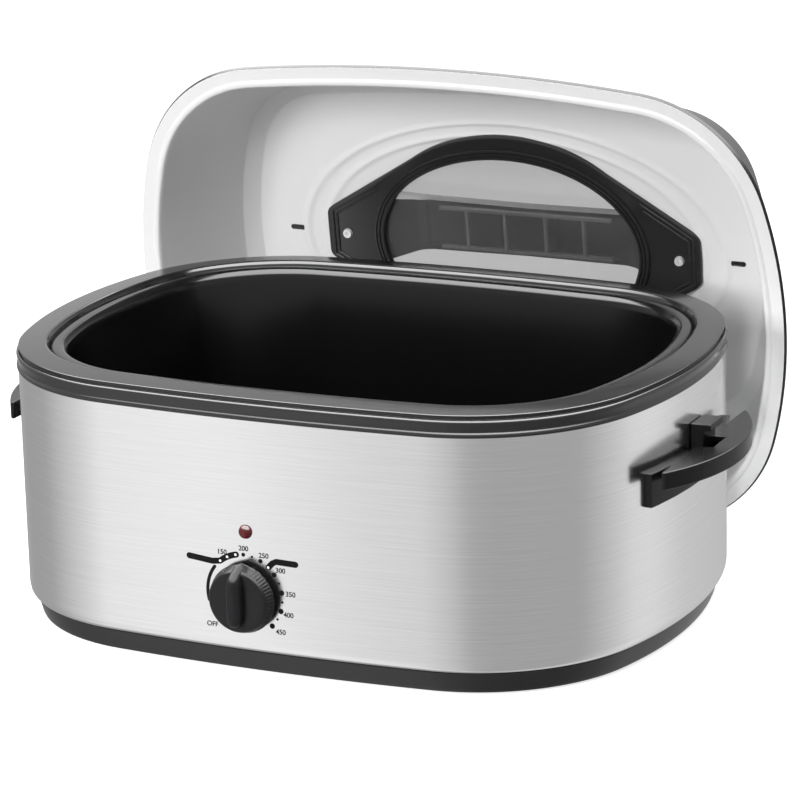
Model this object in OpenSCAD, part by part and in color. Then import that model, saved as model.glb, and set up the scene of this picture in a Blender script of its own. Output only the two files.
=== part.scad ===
// Electric roaster oven: a steel-walled heated body with a lift-out pan and a loose domed lid.
// +Z is up, the counter is z = 0, -Y is the front with the dial, and the origin is the middle
// of the footprint. The lid stands on its long edge behind the body and leans over it.

/* [Body plan] */
// Half the length of the steel wall, middle to end
half_len = 260; // [240:1:280]
// Half the depth of the steel wall, middle to front
half_dep = 200; // [185:1:215]
// Radius of the four upright corners
corner_r = 136; // [110:1:150]
// Radius of the gentle bow of the front and back
face_r = 1509; // [1200:1:2500]
// Radius of the bow of the two ends
end_r = 359; // [320:1:600]

/* [Body heights] */
// How far the rubber feet hold the base off the counter
foot_drop = 1.5; // [1:0.1:4]
// Height of the black base ring
base_h = 16.5; // [12:0.5:24]
// Height of the steel wall between base and rim skirt
wall_h = 175.5; // [150:0.5:190]
// Height of the rim from the skirt's lower edge to its outer shoulder
rim_h = 16.2; // [12:0.2:22]

/* [Steel wall] */
// Thickness of the steel wall
steel_t = 0.7; // [0.5:0.1:1.2]
// How far the wall's lower edge curls in
curl_in = 5.5; // [4:0.5:7]

/* [Base] */
// How far the base ring's foot is set in from the steel wall
base_inset = 9; // [8:0.5:14]
// Wall of the base ring
base_t = 2.5; // [2:0.1:4]
// Thickness of the bottom plate
plate_t = 1; // [0.8:0.1:2]
// Width of the ledge that the bottom plate is screwed to
ledge_w = 16; // [12:1:22]
// Radius of a rubber foot
foot_r = 7.5; // [5:0.5:7.5]
// Radius of the base screws' shanks
base_screw_r = 1.8; // [1.5:0.1:2.5]

/* [Rim] */
// Thickness of the rim's sheet
rim_t = 0.8; // [0.6:0.1:1.2]
// Width of the rim's sloping top
rim_w = 20; // [16:0.5:26]
// How much the rim's top falls towards the outside
rim_fall = 1.4; // [0.5:0.1:3]
// Depth of the step inside the rim that the pan hangs in
rim_step = 7; // [6:0.5:10]
// Width of that step's ledge
ledge_pan = 9; // [8:0.5:12]
// Gap between sheets that lie on each other
lap = 0.3; // [0.2:0.05:0.5]

/* [Pan] */
// Thickness of the pan's enamelled steel
pan_t = 1; // [0.8:0.1:2]
// Depth of the pan from its rolled rim to the floor's underside
pan_deep = 169; // [140:1:172]
// How far the pan's wall draws in from top to bottom
pan_draft = 22; // [12:1:30]
// Radius of the bend between wall and floor of the pan
pan_bend = 22; // [12:1:30]

/* [Heat well] */
// Thickness of the heat well's sheet
well_t = 0.8; // [0.6:0.1:1.2]
// Space left round the pan
well_gap = 3.4; // [2.5:0.1:5]
// Space left under the pan
well_under = 8; // [5:0.5:10]

/* [Heating band] */
// Height of the heating band's middle above the well's floor
band_mid = 44; // [35:1:60]
// Width of the heating band
band_w = 40; // [25:1:50]
// Thickness of the heating band
band_t = 4; // [3:0.5:6]
// Width of a clamp strap
clamp_w = 14; // [10:1:20]

/* [Controls] */
// Sideways place of the dial's middle
dial_x = -10.5; // [-40:0.5:40]
// Height of the dial's middle
dial_z = 61; // [50:0.5:75]
// Radius of the knob's skirt
knob_r = 27; // [22:0.5:30]
// How far the knob stands out of the wall
knob_out = 24; // [18:0.5:30]
// Width of the knob's grip ridge
ridge_w = 12; // [8:0.5:16]
// Radius of the thermostat's shaft
shaft_r = 3; // [2.5:0.1:4]
// Running clearance round the shaft
shaft_gap = 0.06; // [0.04:0.01:0.1]
// Radius of the thermostat's neck
neck_r = 5; // [4.5:0.1:6]
// Width, depth and height of the thermostat's body
thermostat_size = [36, 26, 32];
// Sideways place of the pilot lamp
lamp_x = -9; // [-40:0.5:40]
// Height of the pilot lamp
lamp_z = 110; // [95:0.5:125]
// Radius of the pilot lamp's lens
lamp_r = 5; // [4:0.5:7]

/* [Side handles] */
// Height of the handle plates' tops
handle_z = 150; // [135:1:165]
// Thickness of a handle plate
handle_t = 13.5; // [10:0.5:18]
// Half the length of a handle plate
handle_half = 88.5; // [70:0.5:100]
// How far a handle plate reaches from its straight edge
handle_reach = 28; // [22:0.5:40]
// Thickness of the bracket strip on the wall
strip_t = 5.2; // [4:0.1:8]
// Height of the bracket strip
strip_h = 25; // [18:0.5:32]
// Half the length of the bracket strip
strip_half = 80; // [60:1:90]
// Half the width of the hooked lid rest
rest_half = 13; // [9:0.5:18]
// How far the lid rest stands above the plate
rest_h = 16; // [12:0.5:22]
// Width of the slot that a lid edge drops into
slot_w = 7; // [6:0.5:10]
// Radius of the handle screws
handle_screw_r = 2; // [1.5:0.1:2.5]

/* [Lid] */
// How far the lid reaches past the steel wall at each end
lid_over = 19; // [8:0.5:22]
// How far the lid stays inside the steel wall's front and back
lid_under = 10; // [0:0.5:12]
// Radius of the lid's corners
lid_corner_r = 115; // [100:1:136]
// Depth of the lid from its edge to its flat top
lid_deep = 106; // [85:1:120]
// Thickness of the lid's sheet
lid_t = 1; // [0.8:0.1:1.6]
// Width of the flat flange round the lid
flange_w = 10.5; // [8:0.5:14]
// Width of the bead inside the flange
bead_w = 6; // [4:0.5:8]
// Height of the turned-up edge of the flange
edge_h = 3; // [2:0.5:5]
// How far the lid's wall draws in from flange to top
lid_draft = 24; // [16:1:34]
// Radius of the bend between the lid's wall and its top
lid_bend = 22; // [14:1:30]

/* [Lid place] */
// How far behind the body's wall the lid's edge stands
lid_gap = 7; // [6:0.5:20]
// Sideways place of the lid
lid_x = -16; // [-20:0.5:20]
// How far the lid leans forward, in degrees
lid_lean = 7; // [5:0.5:12]

/* [Window] */
// Half the length of the clear oval
glass_half_len = 113; // [95:1:120]
// Half the height of the clear oval
glass_half_dep = 75; // [60:1:80]
// Width of the ribbed ring round the glass
ring_w = 10; // [8:0.5:12]
// Width of the flat plate outside the ring
plate_w = 10; // [7:0.5:12]
// Thickness of the frame's plate
frame_t = 4; // [3:0.5:6]
// Thickness of the glass
glass_t = 4; // [3:0.5:5]
// Distance from the window's middle to each lid screw
screw_reach = 147; // [140:1:152]
// Sideways place of the window from the lid's middle
window_x = 7; // [-10:0.5:12]
// Place of the window towards the lid's upper edge
window_y = 6; // [-8:0.5:8]

/* [Lid handle] */
// Height of the lid handle over the lid
bridge_h = 42; // [35:1:50]
// Thickness of the lid handle's bar
bridge_t = 12; // [9:0.5:16]
// Width of the lid handle in its middle
bridge_w = 42; // [34:1:50]
// Radius of the lid screws
lid_screw_r = 2; // [1.5:0.1:2.5]

/* [Hidden] */
$fn = 48;

// Steps along the end bow, the corner and the long bow of one quarter of an outline
end_steps = 4;
corner_steps = 11;
face_steps = 4;

// Heights that follow from the driving ones
base_top = foot_drop + base_h;
skirt_z = base_top + wall_h;
rim_z = skirt_z + rim_h;
rim_inner_z = rim_z + rim_fall;
ledge_z = rim_inner_z - rim_step;
// The rim's skirt hangs just outside the wall
skirt_out = lap + rim_t;
rim_edge = -rim_w - 2;
ledge_out = rim_edge - 2.4;
ledge_in = ledge_out - ledge_pan;
plate_z = foot_drop + 4.5;
plate_top = plate_z + lap + plate_t;

// ---------- outlines: four bowed sides joined by tangent corners ----------

// Two circles' meeting point, on the side of positive x and y
function meet(c1, r1, c2, r2) =
    let (d = norm(c2 - c1), x = (d * d + r1 * r1 - r2 * r2) / (2 * d), h = sqrt(r1 * r1 - x * x))
    let (u = (c2 - c1) / d, v = [-u[1], u[0]], p = c1 + u * x + v * h)
    p[0] > 0 && p[1] > 0 ? p : c1 + u * x - v * h;

// A plan: the centres and radii of its end, corner and face arcs, and the angles where they join
function plan(a, b, rc) =
    let (ce = [a - end_r, 0], cf = [0, b - face_r], p = meet(cf, face_r - rc, ce, end_r - rc))
    [ce, p, cf, rc, atan2(p[1], p[0] - ce[0]), atan2(p[1] - cf[1], p[0])];

function arc(c, r, from, to, n) = [for (i = [0:n - 1]) let (t = from + (to - from) * i / n) c + r * [cos(t), sin(t)]];

// One quarter of a plan, grown by g, from the +X axis to just before the +Y axis
function quarter(s, g) = concat(
    arc(s[0], end_r + g, 0, s[4], end_steps),
    arc(s[1], s[3] + g, s[4], s[5], corner_steps),
    arc(s[2], face_r + g, s[5], 90, face_steps)
);

// The whole outline of a plan, grown by g, anticlockwise
function outline(s, g) =
    let (q = quarter(s, g), m = len(q), top = s[2][1] + face_r + g)
    concat(
        q, [[0, top]], [for (i = [m - 1:-1:1]) [-q[i][0], q[i][1]]],
        [for (p = q) -p], [[0, -top]], [for (i = [m - 1:-1:1]) [q[i][0], -q[i][1]]]
    );

body = plan(half_len, half_dep, corner_r);
lid_half_len = half_len + lid_over;
lid_half_dep = half_dep - lid_under;
lid = plan(lid_half_len, lid_half_dep, lid_corner_r);

// ---------- walls swept round a plan ----------

// A profile's copy at distance t on its left
function beside(path, t) = [
    for (i = [0:len(path) - 1])
    let (d = path[min(i + 1, len(path) - 1)] - path[max(i - 1, 0)], u = d / norm(d))
    path[i] + t * [-u[1], u[0]]
];

function reversed(v) = [for (i = [len(v) - 1:-1:0]) v[i]];

// A sheet of thickness t whose outer face follows the path
function sheet(path, t) = concat(path, reversed(beside(path, t)));

// A profile of [growth, height] carried round a plan. A closed profile makes a ring, and an
// open one is closed by flat faces at its first and last loops, which makes a bowl or a dome.
module sweep(s, profile, closed = true) {
    n = len(outline(s, 0));
    m = len(profile);
    points = [for (p = profile) for (q = outline(s, p[0])) [q[0], q[1], p[1]]];
    sides = [
        for (i = [0:closed ? m - 1 : m - 2]) for (j = [0:n - 1])
        let (k = (i + 1) % m, l = (j + 1) % n) [i * n + j, k * n + j, k * n + l, i * n + l]
    ];
    ends = closed ? [] : [[for (j = [0:n - 1]) j], [for (j = [n - 1:-1:0]) (m - 1) * n + j]];
    polyhedron(points = points, faces = concat(sides, ends), convexity = 8);
}

// A round bend from direction a0 to a1 round centre c, as profile points
function bend(c, r, a0, a1, n) = [for (i = [0:n]) let (t = a0 + (a1 - a0) * i / n) c + r * [cos(t), sin(t)]];

// A flat slab of a plan's outline
module slab(s, g, z, h) {
    translate([0, 0, z]) linear_extrude(h) polygon(outline(s, g));
}

// A cylinder along -Y, from y0 forward over a length, at x and z
module forward(x, y0, z, r, length) {
    translate([x, y0, z]) rotate([90, 0, 0]) cylinder(r = r, h = length);
}

// A box from one corner to the opposite one
module span(from, to) {
    translate(from) cube(to - from);
}

module both_ends() {
    children();
    mirror([1, 0, 0]) children();
}

module four_corners() {
    for (sx = [0, 1]) for (sy = [0, 1]) mirror([sx, 0, 0]) mirror([0, sy, 0]) children();
}

// ---------- the body's casing ----------

front_y = -half_dep;
shell_in_y = front_y + steel_t;
wall_low = base_top + 0.2;
wall_top = rim_z - rim_t - lap;
dial_at = [dial_x, dial_z];
inlet_z = 45;
inlet_r = 9;
strip_z = handle_z - 4 - strip_h;
handle_screw_z = strip_z + strip_h / 2;
handle_screw_y = 50;
// How far the bowed end falls back at the height of a handle screw
end_fall = end_r - sqrt(end_r * end_r - handle_screw_y * handle_screw_y);

wall_path = [
    [-curl_in, wall_low], [-curl_in * 0.45, wall_low + 0.8], [-curl_in * 0.12, wall_low + 3],
    [0, wall_low + 7], [0, wall_top - 3.2], [-1, wall_top - 1], [-3.2, wall_top],
    [-rim_w * 0.6, wall_top + rim_fall * 0.45]
];

module outer_shell() {
    color("silver") difference() {
        sweep(body, sheet(wall_path, steel_t));
        forward(dial_x, front_y + 5, dial_z, neck_r + lap, 10);
        forward(lamp_x, front_y + 5, lamp_z, lamp_r + lap, 10);
        translate([-half_len - 5, 0, inlet_z]) rotate([0, 90, 0]) cylinder(r = inlet_r - 2 + lap, h = 10);
        both_ends() handle_bores(handle_screw_r + lap, half_len - end_fall - 6, 12);
    }
}

// The bores of one end's two handle screws
module handle_bores(r, x, length) {
    for (y = [-1, 1] * handle_screw_y) translate([x, y, handle_screw_z]) rotate([0, 90, 0]) cylinder(r = r, h = length);
}

base_ledge = base_inset + 5 + ledge_w;
base_path = [
    [-base_inset - 3, foot_drop], [-base_inset - 0.5, foot_drop + 0.4], [-base_inset + 0.4, foot_drop + 2.5],
    [-5, base_top - 0.6], [-curl_in - 2.5, base_top - 0.2], [-curl_in - 2.5, base_top + 12],
    [-curl_in - 2.5 - base_t, base_top + 12], [-curl_in - 2.5 - base_t, base_top - 1],
    [-base_inset - base_t, base_top - 4], [-base_inset - 5, plate_z], [-base_ledge, plate_z],
    [-base_ledge, plate_z - 2.5], [-base_inset - 5.5, plate_z - 2.5], [-base_inset - 5.5, foot_drop]
];
ledge_mid = base_inset + 5.5 + ledge_w / 2;
// Where a ledge's middle runs through a corner
corner_spot = body[1] + (corner_r - ledge_mid) * [cos(45), sin(45)];
base_screw_x = 120;
base_screw_y = half_dep - ledge_mid - bow(base_screw_x);

module base_screw_spots() {
    four_corners() translate([base_screw_x, base_screw_y]) children();
}

module base_ring() {
    color("#1b1b1d") difference() {
        sweep(body, base_path);
        base_screw_spots() translate([0, 0, foot_drop]) cylinder(r = base_screw_r + 0.1, h = 10);
    }
}

module bottom_plate() {
    color("gainsboro") difference() {
        slab(body, -base_inset - 7, plate_z + 0.1, plate_t);
        base_screw_spots() translate([0, 0, foot_drop]) cylinder(r = base_screw_r + 0.1, h = 10);
        for (x = [-100:40:100]) for (y = [-60, 60]) translate([x - 3, y - 20, plate_z - 1]) cube([6, 40, 5]);
    }
}

module foot(height) {
    rotate_extrude() polygon([[0, 0], [foot_r - 1, 0], [foot_r, 1], [foot_r - 0.8, height], [0, height]]);
}

// Four feet under the base ring's ledge, and one under the middle of the wide bottom plate
module feet() {
    color("#111111") {
        four_corners() translate([corner_spot[0], corner_spot[1], 0]) foot(plate_z - 2.6);
        foot(plate_z);
    }
}

module base_screws() {
    color("gray") base_screw_spots() {
        translate([0, 0, plate_z - 4.2]) cylinder(r = base_screw_r * 2, h = 1.6);
        translate([0, 0, plate_z - 2.7]) cylinder(r = base_screw_r, h = 8);
    }
}

rim_path = [
    [skirt_out, skirt_z], [skirt_out, rim_z - 4], [skirt_out - 0.7, rim_z - 1.6], [skirt_out - 2.2, rim_z - 0.3],
    [skirt_out - 4.2, rim_z], [rim_edge + 1.6, rim_inner_z], [rim_edge, rim_inner_z - 0.5],
    [rim_edge - 1.2, rim_inner_z - 2.4], [ledge_out, ledge_z + 1], [ledge_out - 1, ledge_z], [ledge_in, ledge_z - 0.4]
];

module rim_ring() {
    color("#3a3a3c") sweep(body, sheet(rim_path, rim_t));
}

// ---------- pan and heat well ----------

roll_out = ledge_out - 1.2;
roll_top = rim_inner_z - 3;
pan_wall = ledge_in - 4;
pan_low = roll_top - pan_deep;
pan_slope = atan(pan_draft / (pan_deep - 12));
pan_foot = pan_wall - pan_draft;
pan_floor_edge = pan_foot - pan_bend;

pan_path = concat(
    bend([pan_floor_edge, pan_low + pan_bend], pan_bend, -90, -pan_slope, 5),
    [
        [pan_wall, roll_top - 8], [pan_wall + 1, roll_top - 4], [pan_wall + 3.6, roll_top - 1.6],
        [ledge_in + 1.2, roll_top - pan_t], [roll_out - 2.6, roll_top - pan_t], [roll_out - 0.7, roll_top - 1.6],
        [roll_out, ledge_z + 0.8]
    ]
);

module roasting_pan() {
    color("#161616") sweep(body, sheet(pan_path, pan_t), closed = false);
}

// The well follows the pan's outside at a distance, and hangs from a flange under the rim's ledge
well_wall = ledge_in - 0.6;
well_low = pan_low - well_under;
well_foot = pan_foot + well_gap + well_t;
well_bend = pan_bend + well_gap;
well_slope = atan((well_wall - well_foot) / (ledge_z - well_low - 12));
well_flange = ledge_z - 0.4 - rim_t - lap - well_t;

well_path = concat(
    bend([well_foot - well_bend, well_low + well_bend], well_bend, -90, -well_slope, 4),
    [[well_wall, well_flange - 3], [well_wall + 1, well_flange - 0.6], [well_wall + 2.2, well_flange], [ledge_out - 1, well_flange]]
);

module heat_well() {
    color("lightgray") sweep(body, sheet(well_path, well_t), closed = false);
}

stud_x = 150;
stud_y = 85;

module well_studs() {
    color("gray") four_corners() translate([stud_x, stud_y, plate_top]) cylinder(r = 4, h = well_low - plate_top - lap);
}

// Where the well's wall stands at a height
function well_at(z) = well_foot + (well_wall - well_foot) * (z - well_low - well_bend * 0.8) / (well_flange - 3 - well_low - well_bend * 0.8);

band_low = well_low + band_mid - band_w / 2;
band_high = band_low + band_w;
band_tilt = atan((well_at(band_high) - well_at(band_low)) / band_w);

module heating_band() {
    z0 = band_low;
    z1 = band_high;
    color("#8a8578") sweep(body, [
        [well_at(z0) + lap, z0], [well_at(z0) + lap + band_t, z0],
        [well_at(z1) + lap + band_t, z1], [well_at(z1) + lap, z1]
    ]);
}

// How far the bowed front falls back at x
function bow(x) = face_r - sqrt(face_r * face_r - x * x);

strap_grow = (well_at(band_low) + well_at(band_high)) / 2 + lap * 2 + band_t;
band_z = (band_low + band_high) / 2;

module strap() {
    translate([0, 0, band_z]) rotate([band_tilt, 0, 0])
        translate([-clamp_w / 2, -1, -band_w / 2 - 3]) cube([clamp_w, 1, band_w + 6]);
}

module band_clamps() {
    color("silver") {
        for (a = [0, 180]) rotate([0, 0, a]) for (x = [-1, 1] * 60)
            translate([x, -half_dep - strap_grow + bow(x), 0]) strap();
        for (a = [90, 270]) rotate([0, 0, a]) translate([0, -half_len - strap_grow, 0]) strap();
    }
}

terminal_x = [-104, -84];
terminal_long = 14;
// Height of a terminal's foot, where the band leans out over it
terminal_drop = 2.5 * tan(band_tilt);

function terminal_y(x) = -half_dep - strap_grow + lap + bow(x) - terminal_drop;

module element_terminals() {
    color("silver") for (x = terminal_x) {
        forward(x, terminal_y(x), band_z, 2.5, terminal_long);
        forward(x, terminal_y(x) - 6, band_z, 5, 2);
    }
}

blanket_low = base_top + 13;

module insulation_blanket() {
    z0 = blanket_low;
    z1 = well_flange - 12;
    color("#e8e2c8") difference() {
        sweep(body, [
            [-24, z0], [-steel_t - 1, z0], [-steel_t - 1, z1], [well_at(z1) + 2, z1],
            [well_at(band_high) + band_t + 4, band_high + 4], [well_at(band_low) + band_t + 4, band_low]
        ]);
        // Room for the controls and the element's terminals
        span([-116, front_y - 5, z0 - 1], [46, front_y + 60, lamp_z + 16]);
        // Room for the handle screws' heads and the cord's entry
        both_ends() span([half_len - end_fall - 12, -60, strip_z - 4], [half_len + 5, 60, strip_z + strip_h + 4]);
        span([-half_len - 5, -22, z0 - 1], [-half_len + 30, 22, inlet_z + 16]);
    }
}

// ---------- controls ----------

neck_front = front_y - 4;
body_front = shell_in_y + 3.4;
shield_y = body_front + thermostat_size[1] + 6;
shield_half = thermostat_size[0] * 1.5;

module thermostat() {
    w = thermostat_size[0];
    h = thermostat_size[2];
    color("ivory") difference() {
        union() {
            span([dial_x - w / 2, body_front, dial_z - h / 2], [dial_x + w / 2, body_front + thermostat_size[1], dial_z + h / 2]);
            forward(dial_x, body_front + 1, dial_z, neck_r, body_front + 1 - neck_front);
            for (s = [-1, 1]) span([dial_x + s * 10 - 3, body_front + thermostat_size[1] - 1, dial_z - 4], [dial_x + s * 10 + 3, body_front + thermostat_size[1] + 4, dial_z + 4]);
        }
        forward(dial_x, body_front + thermostat_size[1] * 0.6, dial_z, shaft_r + shaft_gap, 40);
    }
}

module thermostat_bracket() {
    color("silver") difference() {
        span([dial_x - 26, shell_in_y + 0.8, blanket_low], [dial_x + 26, shell_in_y + 2, dial_z + 24]);
        forward(dial_x, body_front + 3, dial_z, neck_r + lap, 10);
    }
}

module shaft_nut() {
    color("silver") difference() {
        translate([dial_x, front_y - lap, dial_z]) rotate([90, 0, 0]) cylinder(r = neck_r + 3.5, h = 2.4, $fn = 6);
        forward(dial_x, front_y + 2, dial_z, neck_r + 0.1, 8);
    }
}

shaft_back = body_front + thermostat_size[1] * 0.6 - 0.5;
shaft_front = front_y - knob_out + 7;

module thermostat_shaft() {
    color("silver") forward(dial_x, shaft_back, dial_z, shaft_r, shaft_back - shaft_front);
}

knob_back = neck_front - 0.8;
knob_skirt = 7;

module control_knob() {
    face = front_y - knob_out;
    color("#1c1c1e") difference() {
        union() {
            translate([dial_x, knob_back, dial_z]) rotate([90, 0, 0]) rotate_extrude($fn = 96) polygon([
                [0, 0], [knob_r, 0], [knob_r, 2.5], [knob_r - 1.2, knob_skirt], [knob_r - 3.2, knob_skirt + 1.2], [0, knob_skirt + 1.8]
            ]);
            intersection() {
                translate([dial_x, knob_back, dial_z]) rotate([90, 0, 0]) cylinder(r = knob_r - 0.8, h = knob_back - face);
                span([dial_x - ridge_w / 2, face, dial_z - knob_r], [dial_x + ridge_w / 2, knob_back, dial_z + knob_r]);
            }
        }
        forward(dial_x, knob_back + 1, dial_z, shaft_r + shaft_gap, knob_back + 1 - shaft_front + 0.5);
        // Moulded hollow round the shaft's socket
        translate([dial_x, knob_back, dial_z]) rotate([90, 0, 0]) difference() {
            translate([0, 0, -1]) cylinder(r = knob_r - 3, h = knob_skirt - 1);
            translate([0, 0, -2]) cylinder(r = shaft_r + 3, h = knob_skirt + 2);
        }
    }
}

module pilot_lamp_lens() {
    color("#8c1020") translate([lamp_x, front_y, lamp_z]) rotate([90, 0, 0]) rotate_extrude() polygon(concat(
        [[0, -3], [lamp_r, -3], [lamp_r, 0.6]],
        [for (t = [15:15:90]) [lamp_r * cos(t), 0.6 + 3.4 * sin(t)]]
    ));
}

module pilot_lamp_body() {
    color("dimgray") {
        forward(lamp_x, shell_in_y + 6, lamp_z, lamp_r + 2, 6 - lap - 2.4);
        forward(lamp_x, shell_in_y + 24, lamp_z, lamp_r, 20);
    }
}

module control_heat_shield() {
    color("gainsboro") {
        span([dial_x - shield_half, shield_y, plate_top + 0.1], [dial_x + shield_half, shield_y + 0.8, lamp_z + 12]);
        span([dial_x - shield_half, shield_y - 10, plate_top + 0.1], [dial_x + shield_half, shield_y + 0.5, plate_top + 0.9]);
    }
}

// ---------- supply side ----------

module cord_inlet() {
    color("#111111") translate([-half_len, 0, inlet_z]) rotate([0, -90, 0]) rotate_extrude() polygon([
        [4, -5], [inlet_r, -5], [inlet_r, -steel_t - lap], [inlet_r - 2, -steel_t - lap],
        [inlet_r - 2, lap], [inlet_r, lap], [inlet_r - 1, 3.2], [4, 3.6]
    ]);
}

block_x = -half_len + 24;

module terminal_block() {
    color("ivory") difference() {
        span([block_x, -17, plate_top + 0.1], [block_x + 14, 17, plate_top + 14]);
        for (y = [-11, 0, 11]) translate([block_x + 7, y, plate_top + 9]) cylinder(r = 2.5, h = 10);
    }
}

// A tube of round section along points, as one swept solid
module wire(path, r) {
    n = 8;
    m = len(path);
    points = [
        for (i = [0:m - 1])
        let (d = path[min(i + 1, m - 1)] - path[max(i - 1, 0)], u = d / norm(d))
        let (side = abs(u[2]) > 0.9 ? [1, 0, 0] : [0, 0, 1], v = cross(u, side) / norm(cross(u, side)), w = cross(u, v))
        for (j = [0:n - 1]) path[i] + r * (cos(360 * j / n) * v + sin(360 * j / n) * w)
    ];
    sides = [for (i = [0:m - 2]) for (j = [0:n - 1]) let (k = (j + 1) % n) [i * n + j, i * n + k, (i + 1) * n + k, (i + 1) * n + j]];
    ends = [[for (j = [n - 1:-1:0]) j], [for (j = [0:n - 1]) (m - 1) * n + j]];
    polyhedron(points = points, faces = concat(sides, ends), convexity = 8);
}

lead_z = plate_top + 7;
switch_back = body_front + thermostat_size[1];

// Live lead to the switch, switched lead to one terminal, and return lead from the other
module internal_leads() {
    low = plate_top + 3;
    tab_y = switch_back + 2.4;
    tip = [for (x = terminal_x) terminal_y(x) - terminal_long + 2];
    under = band_z - 2.5 - 1.6;
    color("#b03020") {
        wire([[block_x + 14.5, -11, lead_z], [block_x + 46, front_y / 2, lead_z], [terminal_x[0] - 30, front_y + 34, lead_z],
            [terminal_x[0] + 34, front_y + 20, lead_z], [dial_x - 10, front_y + 22, lead_z + 6], [dial_x - 10, tab_y, dial_z - 19], [dial_x - 10, tab_y, dial_z - 4.3]], 1.4);
        wire([[dial_x + 10, tab_y, dial_z - 4.3], [dial_x + 10, tab_y, dial_z - 20],
            [dial_x - 6, front_y + 18, dial_z - 26], [dial_x - 34, front_y + 18, dial_z - 20],
            [terminal_x[1], tip[1], band_z - 14], [terminal_x[1], tip[1], under]], 1.4);
        wire([[block_x + 14.5, 11, lead_z], [block_x + 46, 0, low], [terminal_x[0] - 26, front_y * 0.52, low],
            [terminal_x[0] - 6, front_y * 0.67, low],
            [terminal_x[0] - 2, tip[0] + 6, lead_z + 6], [terminal_x[0], tip[0], band_z - 14],
            [terminal_x[0], tip[0], under]], 1.4);
    }
}

// ---------- side handles ----------

strip_out = half_len + strip_t;
plate_x = strip_out + lap;
handle_r = (handle_half * handle_half + handle_reach * handle_reach) / (2 * handle_reach);
post_x = plate_x + 4.5;

// The D of a handle plate: a straight edge and an arc, shrunk by g
module handle_plan(g) {
    intersection() {
        translate([plate_x + handle_reach - handle_r, 0]) circle(r = handle_r - g, $fn = 200);
        translate([plate_x + g, -handle_half + 4 + g]) square([handle_reach, 2 * (handle_half - 4 - g)]);
    }
}

module handle() {
    color("#202022") difference() {
        translate([0, 0, handle_z - handle_t]) linear_extrude(handle_t) handle_plan(0);
        translate([0, 0, handle_z - handle_t - 1]) linear_extrude(handle_t - 2.5) difference() {
            handle_plan(3);
            translate([plate_x, -rest_half - 4]) square([slot_w + 9, 2 * rest_half + 8]);
        }
        // The slot that a lid edge drops into, and the notch for the lid rest's post
        span([plate_x - 1, -rest_half - lap, handle_z - handle_t - 1], [post_x + lap + slot_w, rest_half + lap, handle_z + 1]);
    }
}

module handle_bracket() {
    color("#202022") difference() {
        intersection() {
            difference() {
                slab(body, strip_t, strip_z, strip_h);
                slab(body, lap, strip_z - 1, strip_h + 2);
            }
            span([half_len / 2, -strip_half, strip_z], [half_len + 20, strip_half, strip_z + strip_h]);
        }
        handle_bores(handle_screw_r + 0.1, half_len - end_fall - 4, strip_t + 3);
    }
}

module lid_rest() {
    cap_z = handle_z + rest_h;
    color("#202022") {
        span([plate_x, -rest_half, handle_z - handle_t], [post_x, rest_half, cap_z - 5]);
        span([plate_x - 5, -rest_half, strip_z + strip_h + lap], [post_x, rest_half, cap_z - 5]);
        span([plate_x - 5, -rest_half, cap_z - 5], [post_x + 6, rest_half, cap_z]);
    }
}

module handle_screws() {
    head_x = half_len - end_fall - steel_t - lap - 2.4;
    color("gray") both_ends() {
        handle_bores(handle_screw_r * 2, head_x, 1.6);
        handle_bores(handle_screw_r, head_x, 6);
    }
}

// ---------- lid ----------

// Puts a piece of the lid, modelled with its opening down, on its long edge behind the body
module lid_place() {
    translate([lid_x, half_dep + lid_gap, -edge_h * sin(lid_lean)]) rotate([90 - lid_lean, 0, 180]) translate([0, lid_half_dep, 0]) children();
}

// The lid is turned round to stand, so the window's sideways place changes sign
module window_place() {
    lid_place() translate([-window_x, window_y, 0]) children();
}

wall_start = -flange_w - bead_w;
lid_wall_x = wall_start - 1;
lid_wall_top = lid_wall_x - lid_draft;
lid_slope = atan(lid_draft / (lid_deep - lid_bend));

lid_path = concat(
    reversed(bend([lid_wall_top - lid_bend, lid_deep - lid_bend], lid_bend, lid_slope, 90, 6)),
    [
        [lid_wall_x, 5], [wall_start, 1], [wall_start + 1.4, -0.9], [-flange_w - 1.4, -0.9],
        [-flange_w, 0], [-1.2, 0], [0, edge_h]
    ]
);

oval_steps = 72;
function oval(a, b) = [for (i = [0:oval_steps - 1]) let (t = 360 * i / oval_steps) [a * cos(t), b * sin(t)]];

module oval_ring(a, b, w, z, h) {
    translate([0, 0, z]) linear_extrude(h) difference() {
        polygon(oval(a + w, b + w));
        polygon(oval(a, b));
    }
}

module screw_spots() {
    for (x = [-1, 1] * screw_reach) translate([x, 0, 0]) children();
}

module lid_shell() {
    color("#d4d4d2") difference() {
        lid_place() sweep(lid, sheet(lid_path, lid_t), closed = false);
        window_place() translate([0, 0, lid_deep - 5]) linear_extrude(12) polygon(oval(glass_half_len + 4, glass_half_dep + 4));
        window_place() screw_spots() translate([0, 0, lid_deep - 5]) cylinder(r = lid_screw_r + lap, h = 12);
        // Two small pressed steam vents
        window_place() for (x = [-1, 1] * 195) translate([x - 4, -1, lid_deep - 5]) cube([8, 2, 12]);
    }
}

// From the inside outwards: frame, glass in its gasket, lid sheet, handle
glass_z = lid_deep - glass_t / 2;

module window_glass() {
    color("lightcyan", 0.35) window_place() translate([0, 0, glass_z])
        linear_extrude(glass_t) polygon(oval(glass_half_len + 1.5, glass_half_dep + 1.5));
}

module window_gasket() {
    color("#303030") window_place() {
        oval_ring(glass_half_len + 1.6, glass_half_dep + 1.6, 2.2, glass_z + 0.2, glass_t - 0.4);
    }
}

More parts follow.
